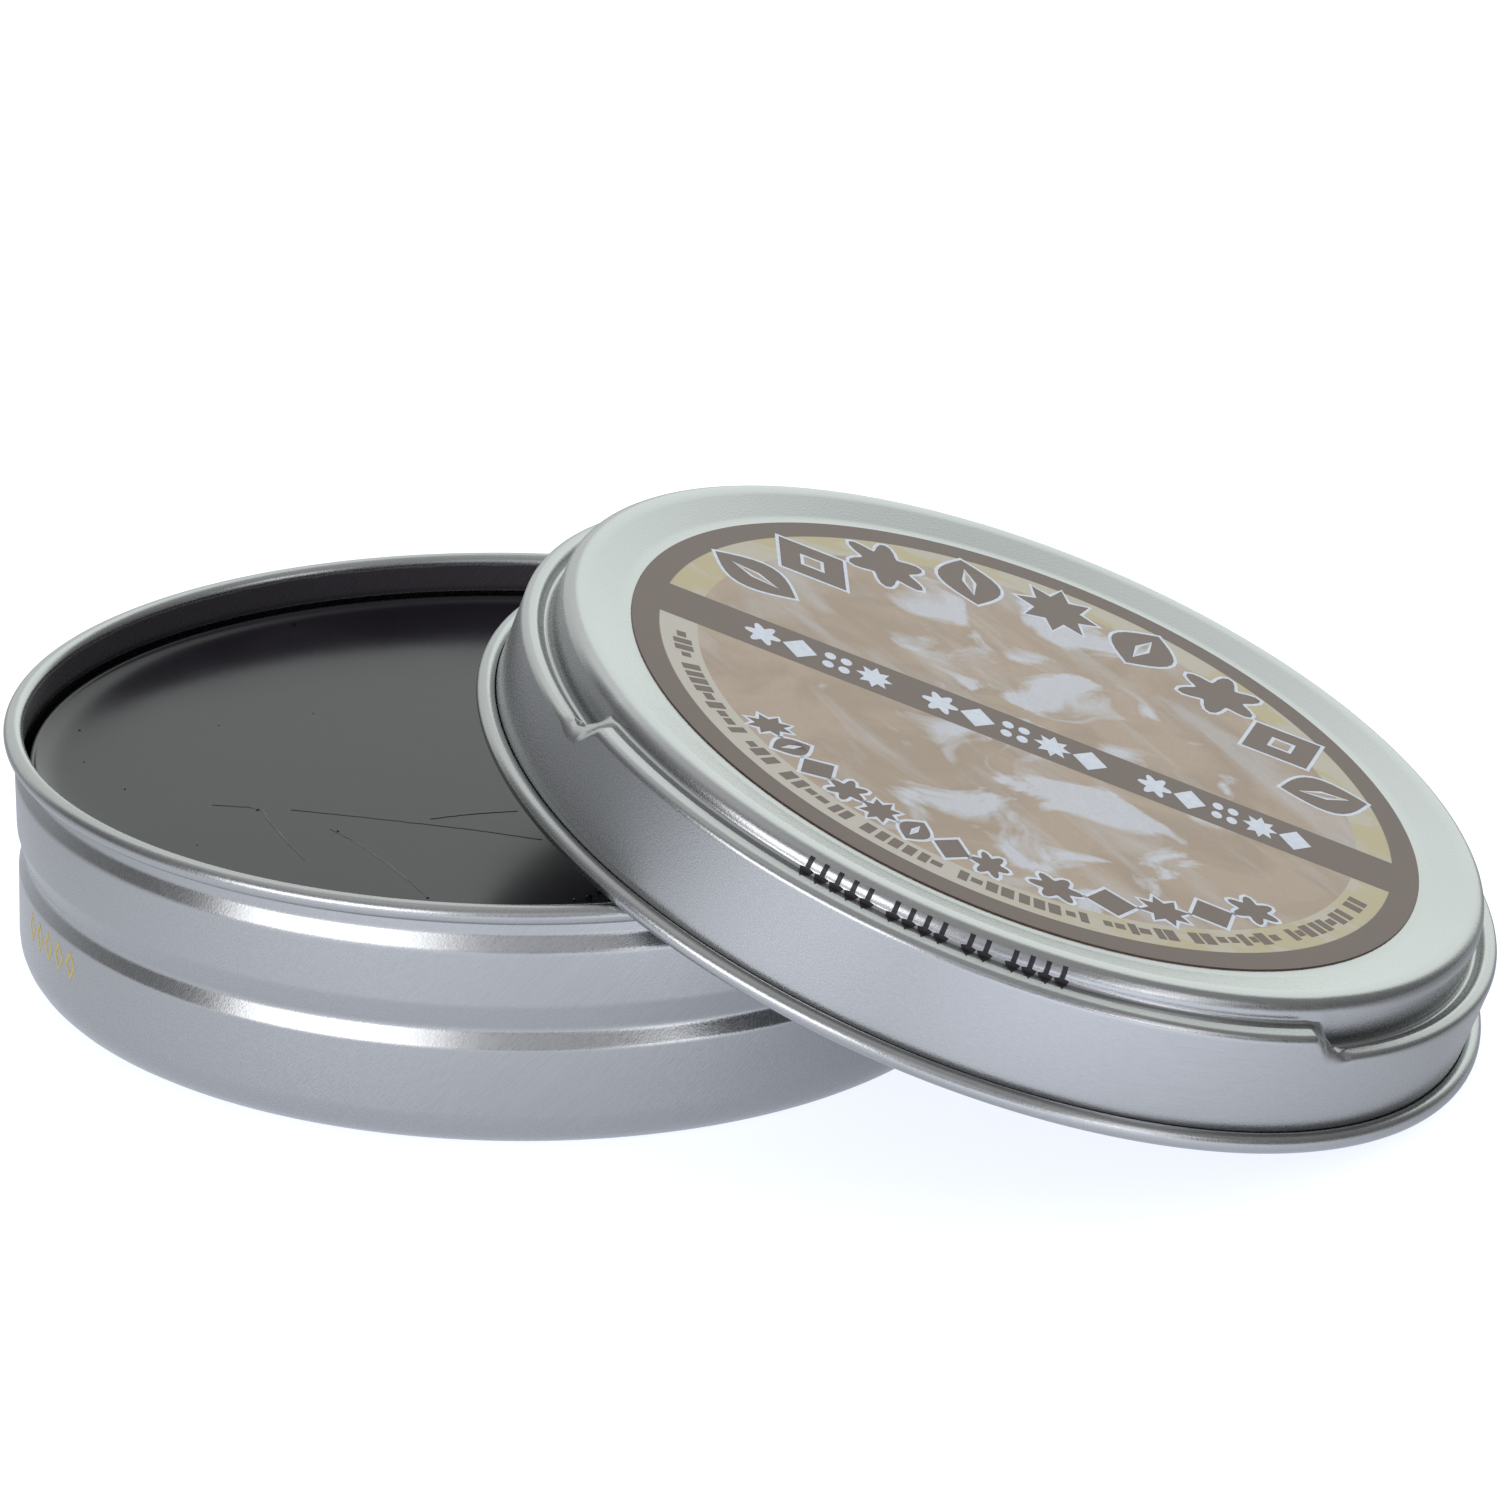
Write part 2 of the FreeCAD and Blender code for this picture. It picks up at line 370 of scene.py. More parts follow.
def wax():
    """Hard dark polish: a smooth glossy skin, faintly cloudy, with specks."""
    made = Recipe("polish_wax", TIN_PLACE, IOR=1.29)
    cloud = made.noise((14, 14, 14), detail=3.0)
    skin = made.noise((0.6, 0.6, 0.6), detail=2.0)
    speck = made.noise((1.1, 1.1, 1.1), detail=1.0)
    body = made.mix(made.spread(cloud, 0.35, 0.65), WAX_DARK, WAX_PALE)
    made.set("Base Color", made.mix(made.spread(speck, 0.78, 0.82), body, WAX_SPECK))
    made.set("Roughness", made.spread(cloud, 0.3, 0.7, 0.16, 0.21))
    bump = made.relief(skin, 0.0012)
    made.relief(made.noise((11, 11, 11), detail=2.0), 0.03, bump)
    return made.material


def ink(name, place, colour, rough):
    """A matt film, such as ink or torn wax, a little uneven in tone."""
    made = Recipe(name, place, Specular_IOR_Level=0.35)
    patch = made.noise((0.7, 0.7, 0.7), detail=3.0)
    lighter = rgb(*(min(1.0, c * 1.18 + 0.003) for c in colour))
    made.set("Base Color", made.mix(made.spread(patch, 0.35, 0.75), rgb(*colour), lighter))
    made.set("Roughness", made.spread(patch, 0.3, 0.7, rough - 0.04, rough + 0.04))
    return made.material


# colours of the print
BROWN = (0.104, 0.061, 0.047)
TAN = (0.405, 0.305, 0.226)
TAN_DEEP = (0.335, 0.245, 0.172)
CREAM = (0.470, 0.400, 0.225)
CREAM_GREY = (0.50, 0.47, 0.42)
PALE = (0.600, 0.645, 0.740)

# zones of the print, radii and heights in millimetres
RING_INNER = 32.1
BAND_HALF = 2.9
TOP_STRIP_INNER, BOTTOM_STRIP_INNER = 29.0, 28.8
EDGE = 0.05                      # how sharply one print colour meets the next


def label_print():
    """The label: ring, band, two strips and a marbled field, printed on satin paper."""
    made = Recipe("label_print", LID_PLACE, turn=LABEL_TURN, Specular_IOR_Level=0.35)
    x, y, _ = made.axes()
    radius = made.radius()

    def beyond(value, limit):
        return made.spread(value, limit - EDGE, limit + EDGE)

    grain = made.noise((0.3, 0.3, 0.3), detail=2.0)
    drift = made.noise((13, 10, 10), detail=4.0, distortion=1.2)
    field = made.mix(made.spread(drift, 0.40, 0.58), rgb(*TAN_DEEP), rgb(*TAN))
    middle = made.math("ABSOLUTE", made.math("SUBTRACT", x, 4.0))
    near_middle = made.spread(middle, 3.0, 18.0, 0.06, -0.10)
    torn = made.noise((9, 7, 7), turn=(0, 0, 35), detail=8.0, distortion=0.8)
    patches = made.spread(made.math("ADD", torn, near_middle), 0.53, 0.61)
    field = made.mix(made.math("MULTIPLY", patches, 0.8), field, rgb(*PALE))
    veil = made.noise((16, 5, 5), turn=(0, 0, -40), detail=6.0, distortion=0.5)
    field = made.mix(made.spread(veil, 0.50, 0.68, 0.0, 0.35), field, rgb(*PALE))
    field = made.mix(made.spread(grain, 0.3, 0.7, 0.0, 0.16), field, rgb(*TAN_DEEP))

    blotch = made.spread(made.noise((7, 4, 4), detail=3.0, distortion=0.6), 0.46, 0.54)
    upper = beyond(y, 0.0)
    greyed = made.math("MAXIMUM", made.math("MULTIPLY", blotch, 0.7), made.math(
        "SUBTRACT", made.spread(x, -2.0, 14.0, 0.9, 0.1), upper))
    strip = made.mix(greyed, rgb(*CREAM), rgb(*CREAM_GREY))
    strip_from = made.spread(upper, 0.0, 1.0, BOTTOM_STRIP_INNER, TOP_STRIP_INNER)
    in_strip = made.spread(made.math("SUBTRACT", radius, strip_from), -EDGE, EDGE)
    face = made.mix(in_strip, field, strip)
    in_band = made.spread(made.math("ABSOLUTE", y), BAND_HALF - EDGE, BAND_HALF + EDGE, 1.0, 0.0)
    dark = made.math("MAXIMUM", in_band, beyond(radius, RING_INNER))
    brown = made.mix(made.spread(grain, 0.3, 0.7), rgb(*(c * 0.85 for c in BROWN)),
                     rgb(*(c * 1.15 for c in BROWN)))
    face = made.mix(dark, face, brown)
    made.set("Base Color", face)
    made.set("Roughness", made.spread(grain, 0.3, 0.7, 0.36, 0.44))
    made.relief(grain, 0.002)
    return made.material


# ---- cup and wax -------------------------------------------------------------

def whole_turn(step):
    return [k * step for k in range(round(360 / step))]


def make_cup():
    outside = outline(CUP_OUTSIDE)
    centre = Vector((RIM_RADIUS - RIM_TUBE, TIN_HEIGHT - RIM_TUBE))
    section = sheet_section(outside, SHEET, centre, RIM_TUBE, 1)
    vertices, faces = lathe(whole_turn(1.0), lambda azimuth: section)
    add_piece("cup", vertices, faces, cup_tinplate(), TIN_PLACE, "tin", "tinplate", ["tin_body"])


WAX_SUNK, WAX_SHORE = 1.0, 1.2   # the wax has set this much lower, within this reach of its edge
WAX_LIP = 0.05                   # and stands this much higher in a line round it
LIP_RADIUS, LIP_WIDTH = 40.02, 0.13
TURN_RADIUS, TURN_STEEPNESS = 40.1, 3.0    # outside this radius the edge turns down again


def wax_top(radius):
    """Height of the wax: flat in the middle, climbing to a thin raised edge."""
    sag = WAX_SUNK * (1 - math.exp((radius - WAX_RADIUS) / WAX_SHORE))
    lip = WAX_LIP * math.exp(-((radius - LIP_RADIUS) / LIP_WIDTH) ** 2)
    turned = max(0.0, radius - TURN_RADIUS)
    return WAX_LEVEL - sag + lip - turned ** 2 * TURN_STEEPNESS


def make_wax(material):
    """The cake; the rings of its top lie closest together at the raised edge."""
    corners = ((0, BASE_RECESS + SHEET, 0), (WAX_RADIUS, BASE_RECESS + SHEET, CORNER_RADIUS),
               (WAX_RADIUS, wax_top(WAX_RADIUS), 0))
    side = outline(corners)
    radii = [40.28, 40.24, 40.18, 40.12, 40.07, 40.02, 39.97, 39.92, 39.86, 39.78, 39.65, 39.4]
    radii += [39.1 - 0.4 * k for k in range(12)] + [34 - 2.0 * k for k in range(17)]
    top = [Vector((r, wax_top(r))) for r in radii] + [Vector((0, wax_top(0)))]
    vertices, faces = lathe(whole_turn(1.5), lambda azimuth: side + top)
    add_piece("wax_cake", vertices, faces, material, TIN_PLACE, "tin", "wax", ["wax_polish"])


# Scratches in the wax: points (x, y), then the greatest width.
SCRATCHES = (
    (((-21.1, -16.3), (-17.3, -16.0), (-15.2, -18.8), (-10.1, -25.7)), 0.36),
    (((-10.2, -18.4), (-6.7, -21.2), (-1.9, -26.0), (1.4, -29.9)), 0.40),
    (((-14.6, -15.3), (-6.5, -15.0), (0.5, -14.9), (6.9, -15.3)), 0.22),
    (((-3.1, -13.7), (-0.2, -11.6), (3.2, -9.7)), 0.12),
)
SCRATCH_STEPS = 26
BURR_FOOT, BURR_CREST = -0.01, 0.04        # levels of a scratch's feet and crest over the wax


def smooth_path(points, count):
    """Points along a Catmull-Rom curve through the given ones."""
    ends = [points[0] * 2 - points[1]] + list(points) + [points[-1] * 2 - points[-2]]
    path = []
    for k in range(count + 1):
        along = min(k / count * (len(points) - 1), len(points) - 1 - 1e-6)
        i, t = int(along), along % 1
        a, b, c, d = ends[i:i + 4]
        path.append((b * 2 + (c - a) * t + (a * 2 - b * 5 + c * 4 - d) * t * t
                     + (b * 3 - a - c * 3 + d) * t ** 3) / 2)
    return path


def make_scratches(material):
    """Each scratch is a tapered burr of torn wax, three-sided, lying in the surface."""
    draw = random.Random(5)
    for number, (points, width) in enumerate(SCRATCHES):
        path = smooth_path([Vector(p) for p in points], SCRATCH_STEPS)
        vertices, faces = [], []
        for k, point in enumerate(path):
            ahead = (path[min(k + 1, SCRATCH_STEPS)] - path[max(k - 1, 0)]).normalized()
            across = Vector((-ahead.y, ahead.x))
            taper = math.sin(math.pi * (0.04 + 0.92 * k / SCRATCH_STEPS)) ** 0.6
            half = width / 2 * taper * draw.uniform(0.6, 1.0)
            wander = across * draw.uniform(-0.05, 0.05)
            level = wax_top(point.length)
            crest = draw.uniform(-0.3, 0.3) * half
            for side, lift in ((-half, BURR_FOOT), (half, BURR_FOOT), (crest, BURR_CREST)):
                spot = point + wander + across * side
                vertices.append(Vector((spot.x, spot.y, level + lift)) * MM)
        for k in range(SCRATCH_STEPS):
            a, b = 3 * k, 3 * k + 3
            faces += [(a, b, b + 1, a + 1), (a + 1, b + 1, b + 2, a + 2), (a + 2, b + 2, b, a)]
        last = 3 * SCRATCH_STEPS
        faces += [(0, 1, 2), (last, last + 2, last + 1)]
        add_piece(f"scratch_{number + 1}", vertices, faces, material, TIN_PLACE, "tin", "wax")


# Loose crumbs on the wax: x, y, size.
CRUMBS = (
    (13.9, -26.0, 0.55), (14.4, -24.7, 0.38), (13.0, -27.0, 0.30), (-17.2, -16.1, 0.26),
    (-37.2, -3.5, 0.20), (-34.4, -10.3, 0.16), (-29.1, -15.1, 0.16), (-26.5, 1.5, 0.14),
    (-19.8, 6.8, 0.14), (-19.4, -25.1, 0.14), (-9.5, -18.6, 0.20), (1.7, -30.2, 0.24),
)
CRUMB_BUMPS, CRUMB_GRAIN = 0.55, 1.6
CRUMB_FLATNESS = 0.55
CRUMB_REST = 0.12                # height of a crumb's middle over the wax, in crumb sizes


def make_crumbs(material):
    """All the crumbs as one piece: small lumps, bumpy and flattened, resting on the wax."""
    draw = random.Random(11)
    shape = bmesh.new()
    for x, y, size in CRUMBS:
        lump = bmesh.ops.create_icosphere(shape, subdivisions=2, radius=size / 2 * MM)["verts"]
        offset = Vector([draw.uniform(0, 50) for _ in range(3)])
        base = Vector((x, y, wax_top(math.hypot(x, y)) + size * CRUMB_REST)) * MM
        for vertex in lump:
            way = vertex.co.normalized()
            vertex.co *= 1 + CRUMB_BUMPS * noise.noise(way * CRUMB_GRAIN + offset)
            vertex.co.z *= CRUMB_FLATNESS
            vertex.co += base
    vertices = [v.co.copy() for v in shape.verts]
    faces = [[v.index for v in f.verts] for f in shape.faces]
    shape.free()
    add_piece("wax_crumbs", vertices, faces, material, TIN_PLACE, "tin", "wax")


# ---- lid ---------------------------------------------------------------------

# How the two steps meet, in degrees past the press arc's nominal end: the skirt's
# corner falls first, then the wall's foot, with a plain slope between the two.
CORNER_FALL = (-3.4, -0.2)
FOOT_FALL = (-1.0, 2.6)
BRIDGE_CREST = 9.4               # height of the slope between the two ledges, at the ridge
BRIDGE_REACH, BRIDGE_SOFTNESS = 4.0, 2.0   # its bends are rounder within this many degrees


def eased(value, low, high):
    """Goes smoothly from 0 at low to 1 at high."""
    share = min(1.0, max(0.0, (value - low) / (high - low)))
    return share * share * (3 - 2 * share)


def past_press(azimuth):
    """Degrees beyond the nearer end of the press arc; negative inside it."""
    return abs((azimuth - PRESS_CENTRE + 180) % 360 - 180) - PRESS_SWEEP / 2


def step_heights(azimuth):
    """Heights of the wall's foot, the ridge and the skirt's corner at an azimuth."""
    past = past_press(azimuth)
    corner_share = eased(past, *CORNER_FALL)
    foot_share = eased(past, *FOOT_FALL)
    foot = PRESS_STEP[0] + (PLAIN_STEP[0] - PRESS_STEP[0]) * foot_share
    corner = PRESS_STEP[2] + (PLAIN_STEP[2] - PRESS_STEP[2]) * corner_share
    crest = PRESS_STEP[1] + (BRIDGE_CREST - PRESS_STEP[1]) * corner_share
    crest += (PLAIN_STEP[1] - crest) * foot_share
    return foot, crest, corner


def lid_corners(azimuth):
    """The lid's outside at an azimuth, from the middle of its top down to the hem."""
    foot, crest, corner = step_heights(azimuth)
    past = past_press(azimuth)
    soft = 1 + BRIDGE_SOFTNESS * (1 - eased(abs(past), 0.0, BRIDGE_REACH))
    return (
        (0, PANEL_HEIGHT, 0),
        (35.3, PANEL_HEIGHT, 3.0),
        (38.6, LID_HEIGHT, 3.5),
        (SHOULDER_RADIUS, LID_HEIGHT, 1.2),
        (FOOT_RADIUS, foot, CREASE_ROUNDING),
        (CREST_RADIUS, crest, RIDGE_ROUNDING * soft),
        (SKIRT_RADIUS, corner, SKIRT_ROUNDING * soft),
        (SKIRT_RADIUS, HEM_TUBE, 0),
    )


def lid_section(azimuth):
    centre = Vector((HEM_RADIUS - HEM_TUBE, HEM_TUBE))
    return sheet_section(outline(lid_corners(azimuth)), -SHEET, centre, HEM_TUBE, -1)


def lid_azimuths():
    """Every degree, and closer together at the notches."""
    coarse, fine, reach = 1.0, 0.2, 3.6
    notches = [PRESS_CENTRE - PRESS_SWEEP / 2, PRESS_CENTRE + PRESS_SWEEP / 2]
    kept = [a - 180 for a in whole_turn(coarse)
            if all(abs(a - 180 - n) > reach + coarse / 2 for n in notches)]
    for notch in notches:
        kept += [notch - reach + fine * k for k in range(round(2 * reach / fine) + 1)]
    return sorted(kept)


def make_lid():
    metal = tinplate("tinplate_lid", LID_PLACE, (0, 0, 35)).material
    vertices, faces = lathe(lid_azimuths(), lid_section)
    add_piece("lid_shell", vertices, faces, metal, LID_PLACE, "lid", "tinplate", ["lid"])


# ---- label and prints --------------------------------------------------------

def make_label():
    """The paper disc, pressed a little into the panel, with its cut edge eased."""
    under, eased_edge, support = PANEL_HEIGHT - 0.02, 0.04, 20
    section = [Vector(p) for p in (
        (0, under), (support, under), (LABEL_RADIUS, under),
        (LABEL_RADIUS, LABEL_TOP - eased_edge), (LABEL_RADIUS - eased_edge, LABEL_TOP),
        (support, LABEL_TOP), (0, LABEL_TOP),
    )]
    vertices, faces = lathe(whole_turn(1.0), lambda azimuth: section)
    add_piece("label_disc", vertices, faces, label_print(), LID_PLACE, "lid", "label", ["lid_label"])


# Marks are lists of loops about one wide and one high, round the origin; a loop
# that runs clockwise is a hole.

def ring_of(count, radius, turn=0.0, clockwise=False):
    loop = [Vector((math.cos(a), math.sin(a))) * radius
            for a in (math.radians(turn + 360 * k / count) for k in range(count))]
    return loop[::-1] if clockwise else loop


def lozenge():
    return [ring_of(4, 0.5)]


def framed_lozenge():
    return [ring_of(4, 0.54), ring_of(4, 0.2, clockwise=True)]


def star():
    """Eight points."""
    loop = ring_of(16, 0.5)
    return [[p * (1.08 if k % 2 == 0 else 0.62) for k, p in enumerate(loop)]]


def flower():
    """Six round petals."""
    count, petals = 48, 6
    waves = [math.cos(petals * 2 * math.pi * k / count) for k in range(count)]
    return [[p * (0.41 + 0.12 * wave) for p, wave in zip(ring_of(count, 1.0), waves)]]


def leaf():
    """A pointed oval with a slit for its rib."""
    right = [Vector((0.42 * math.sin(math.pi * k / 10), k / 10 - 0.5)) for k in range(11)]
    left = [Vector((-p.x, p.y)) for p in right[-2:0:-1]]
    slit = [Vector(p) for p in ((0, -0.3), (-0.1, 0.0), (0, 0.3), (0.1, 0.0))]
    return [right + left, slit]


def four_dots():
    return [[p + spot for p in ring_of(10, 0.17)] for spot in ring_of(4, 0.33, turn=45)]


def block():
    return [[Vector(p) for p in ((-0.5, -0.5), (0.5, -0.5), (0.5, 0.5), (-0.5, 0.5))]]


def grown(loop, distance):
    """A loop moved outward by a distance, with mitred corners."""
    moved = []
    for i, point in enumerate(loop):
        into = (point - loop[i - 1]).normalized()
        out = (loop[(i + 1) % len(loop)] - point).normalized()
        normal = Vector((into.y, -into.x)) + Vector((out.y, -out.x))
        moved.append(point + normal * distance * min(2.0 / normal.length_squared, 1.6))
    return moved


def slab(loops, surface, low, high):
    """Vertices and faces of a flat mark between two levels; surface(x, y, level) is a point."""
    flat = [p for loop in loops for p in loop]
    count = len(flat)
    vertices = [surface(p.x, p.y, low) for p in flat] + [surface(p.x, p.y, high) for p in flat]
    caps = tessellate_polygon([[Vector((p.x, p.y, 0)) for p in loop] for loop in loops])
    faces = [tuple(c) for c in caps] + [tuple(k + count for k in c)[::-1] for c in caps]
    start = 0
    for loop in loops:
        for k in range(len(loop)):
            a, b = start + k, start + (k + 1) % len(loop)
            faces.append((a, b, b + count, a + count))
        start += len(loop)
    return vertices, faces


def joined(parts):
    """Several (vertices, faces) in one."""
    vertices, faces = [], []
    for some_vertices, some_faces in parts:
        faces += [tuple(k + len(vertices) for k in face) for face in some_faces]
        vertices += some_vertices
    return vertices, faces


def sized(mark, width, height):
    return [[Vector((p.x * width, p.y * height)) for p in loop] for loop in mark()]


def on_label(radius, azimuth, inward=False):
    """A surface for marks that stand on an arc of the label, feet to its middle or away."""
    angle = math.radians(azimuth + LABEL_TURN)
    out = Vector((math.cos(angle), math.sin(angle)))
    up = -out if inward else out
    right = Vector((up.y, -up.x))

    def surface(x, y, level):
        spot = out * radius + right * x + up * y
        return Vector((spot.x, spot.y, LABEL_TOP + level)) * MM

    return surface


def on_band(along):
    """A surface for marks on the label's straight band."""
    angle = math.radians(LABEL_TURN)
    right = Vector((math.cos(angle), math.sin(angle)))
    up = Vector((-right.y, right.x))

    def surface(x, y, level):
        spot = right * (along + x) + up * y
        return Vector((spot.x, spot.y, LABEL_TOP + level)) * MM

    return surface


SUNK = -0.03                     # marks start this far under the surface that carries them
OUTLINE_LEVEL, INK_LEVEL = 0.012, 0.022    # and rise this far over it
OUTLINE = 0.32                   # width of the pale line round each brown mark


def outlined(marks, name, brown, pale):
    """Brown marks with a pale line round each; marks are (loops, surface)."""
    wide = [slab([grown(loop, OUTLINE) for loop in loops], surface, SUNK, OUTLINE_LEVEL)
            for loops, surface in marks]
    narrow = [slab(loops, surface, SUNK, INK_LEVEL) for loops, surface in marks]
    add_piece(name + "_outline", *joined(wide), pale, LID_PLACE, "lid", "label")
    add_piece(name, *joined(narrow), brown, LID_PLACE, "lid", "label")


# Ornaments on an arc of the label: the marks, first and last azimuth, width and height.
ARCH_RADIUS, ROW_RADIUS = 27.8, 26.5
ARCH = ((leaf, framed_lozenge, flower, leaf, star, leaf, flower, framed_lozenge, leaf),
        156.5, 23.5, 6.9, 8.3)
ROWS = (
    ((star, leaf, lozenge, flower, star, leaf, lozenge, flower), -141.0, -91.5, 3.1, 4.1),
    ((flower, lozenge, star, lozenge, flower), -79.5, -38.0, 4.4, 4.1),
)


def arc_marks(signs, first, last, width, height, radius, inward=False):
    """Marks spaced evenly along an arc of the label."""
    marks = []
    for k, mark in enumerate(signs):
        azimuth = first + (last - first) * k / (len(signs) - 1)
        marks.append((sized(mark, width, height), on_label(radius, azimuth, inward)))
    return marks


# Groups of marks along the straight band: from, to, count.
BAND_GROUPS = ((-25.0, -11.9, 4), (-9.4, 7.1, 5), (9.6, 25.1, 5))
BAND_KINDS = (flower, lozenge, four_dots, star, lozenge)
BAND_MARK_HEIGHT, BAND_MARK_FILL = 3.7, 0.92       # fill: share of the pitch that a mark takes


def make_band_marks(pale):
    parts = []
    for start, end, count in BAND_GROUPS:
        pitch = (end - start) / count
        for k in range(count):
            loops = sized(BAND_KINDS[k % len(BAND_KINDS)], pitch * BAND_MARK_FILL, BAND_MARK_HEIGHT)
            parts.append(slab(loops, on_band(start + pitch * (k + 0.5)), SUNK, OUTLINE_LEVEL))
    add_piece("band_marks", *joined(parts), pale, LID_PLACE, "lid", "label")


DASH_FIRST, DASH_LAST = -168.6, -12.4      # azimuths on the lower strip
DASH_RADIUS, DASH_GAP = 30.25, 0.32
DASH_GROUP_GAP = 1.9                       # degrees between two groups
DASH_WIDTHS = (0.7, 1.1)
DASH_HEIGHTS = (0.8, 1.6, 1.6)
DASH_GROUP_SIZES = (3, 9)


def make_strip_dashes(brown):
    """Groups of upright dashes, tall and short, along the lower strip."""
    draw = random.Random(3)
    parts = []
    azimuth = DASH_FIRST
    while azimuth < DASH_LAST:
        for _ in range(draw.randint(*DASH_GROUP_SIZES)):
            width = draw.uniform(*DASH_WIDTHS)
            loops = sized(block, width, draw.choice(DASH_HEIGHTS))
            surface = on_label(DASH_RADIUS, azimuth, inward=True)
            parts.append(slab(loops, surface, SUNK, OUTLINE_LEVEL))
            azimuth += math.degrees((width + DASH_GAP) / DASH_RADIUS)
            if azimuth > DASH_LAST:
                break
        azimuth += DASH_GROUP_GAP
    add_piece("strip_dashes", *joined(parts), brown, LID_PLACE, "lid", "label")


def make_label_marks():
    brown = ink("ink_brown", LID_PLACE, BROWN, 0.40)
    pale = ink("ink_pale", LID_PLACE, PALE, 0.40)
    outlined(arc_marks(*ARCH, ARCH_RADIUS), "crest_marks", brown, pale)
    rows = [mark for row in ROWS for mark in arc_marks(*row, ROW_RADIUS, inward=True)]
    outlined(rows, "row_marks", brown, pale)
    make_band_marks(pale)
    make_strip_dashes(brown)


# The print over the place to press: the azimuths it runs between, how its marks
# are grouped, and the radii on the lid's shoulder and ledge that it spans.
PRESS_PRINT = (-104.0, -71.5)
PRESS_GROUPS = (5, 4, 2, 4)
PRESS_GROUP_GAP = 0.7            # between two groups, in arrow pitches
PRESS_RADII = (40.0, 42.1)
PRESS_PITCH_RADIUS = 41.0
PRESS_ROWS = 26                  # an arrow is divided this often along its length
ARROW_STEM, ARROW_HEAD = 0.22, 0.66        # half widths
ARROW_HEAD_FROM, ARROW_TIP = 0.45, 1.03    # along the arrow, whose end is at 1
PRESS_INK_LEVEL = 0.02


def on_step(azimuth):
    """A surface for marks that run down the step and out over its ledge; y is 0 to 1."""
    low, high = PRESS_RADII
    points = [p for p in outline(lid_corners(PRESS_CENTRE)) if low <= p.x <= high]
    lengths = [(b - a).length for a, b in zip(points, points[1:])]

    def surface(x, y, level):
        left = y * sum(lengths)
        k = 0
        while k < len(lengths) - 1 and left > lengths[k]:
            left -= lengths[k]
            k += 1
        along = (points[k + 1] - points[k]) / lengths[k]
        spot = points[k] + along * left + Vector((-along.y, along.x)) * level
        return polar(azimuth + math.degrees(x / PRESS_PITCH_RADIUS), spot.x, spot.y)

    return surface


def tapered(surface, half_width, rows, low, high):
    """A mark made of rows that follow a bent surface; half_width(t) is for t from 0 to 1."""
    vertices, faces = [], []
    for k in range(rows + 1):
        t = k / rows
        half = half_width(t)
        vertices += [surface(-half, t, low), surface(half, t, low),
                     surface(half, t, high), surface(-half, t, high)]
    for k in range(rows):
        a, b = 4 * k, 4 * k + 4
        for i in range(4):
            j = (i + 1) % 4
            faces.append((a + i, a + j, b + j, b + i))
    faces += [(0, 3, 2, 1), tuple(4 * rows + i for i in range(4))]
    return vertices, faces


def arrow_down(t):
    """Half width of a stem with an arrow head, in millimetres."""
    if t < ARROW_HEAD_FROM:
        return ARROW_STEM
    return ARROW_HEAD * (ARROW_TIP - t) / (ARROW_TIP - ARROW_HEAD_FROM)


def make_press_print():
    """Groups of small black arrows that point down the step."""
    black = ink("ink_black", LID_PLACE, (0.012, 0.011, 0.014), 0.42)
    first, last = PRESS_PRINT
    slots = sum(PRESS_GROUPS) + PRESS_GROUP_GAP * (len(PRESS_GROUPS) - 1)
    step = (last - first) / slots
    parts = []
    azimuth = first + step / 2
    for count in PRESS_GROUPS:
        for _ in range(count):
            surface = on_step(azimuth)
            parts.append(tapered(surface, arrow_down, PRESS_ROWS, SUNK, PRESS_INK_LEVEL))
            azimuth += step
        azimuth += PRESS_GROUP_GAP * step
    add_piece("press_print", *joined(parts), black, LID_PLACE, "lid", "label")


BATCH_FIRST, BATCH_PITCH, BATCH_COUNT = -146.5, 3.1, 5     # azimuths on the cup's wall
BATCH_HEIGHT = 7.0
BATCH_WIDTH, BATCH_TALL = 1.7, 2.6         # size of one lozenge
BATCH_INK_LEVEL = 0.015


def make_batch_print():
    """A short row of small yellow lozenges stamped on the cup's wall."""
    yellow = ink("ink_yellow", TIN_PLACE, (0.42, 0.32, 0.075), 0.45)

    def on_wall(middle):
        def surface(x, y, level):
            turned = middle + math.degrees(x / WALL_RADIUS)
            return polar(turned, WALL_RADIUS + level, BATCH_HEIGHT + y)

        return surface

    loops = [ring_of(4, 0.5), ring_of(4, 0.32, clockwise=True)]
    loops = [[Vector((p.x * BATCH_WIDTH, p.y * BATCH_TALL)) for p in loop] for loop in loops]
    azimuths = [BATCH_FIRST + BATCH_PITCH * k for k in range(BATCH_COUNT)]
    parts = [slab(loops, on_wall(azimuth), SUNK, BATCH_INK_LEVEL) for azimuth in azimuths]
    add_piece("batch_print", *joined(parts), yellow, TIN_PLACE, "tin", "label")


# ---- studio ------------------------------------------------------------------

CAMERA_PLACE = Vector((0.15144, -0.52753, 0.22760))            # metres
CAMERA_YAW, CAMERA_PITCH, CAMERA_ROLL = -0.243483, 0.363309, -0.027229   # radians
CAMERA_LENS, CAMERA_SENSOR = 168.14, 36.0                      # millimetres


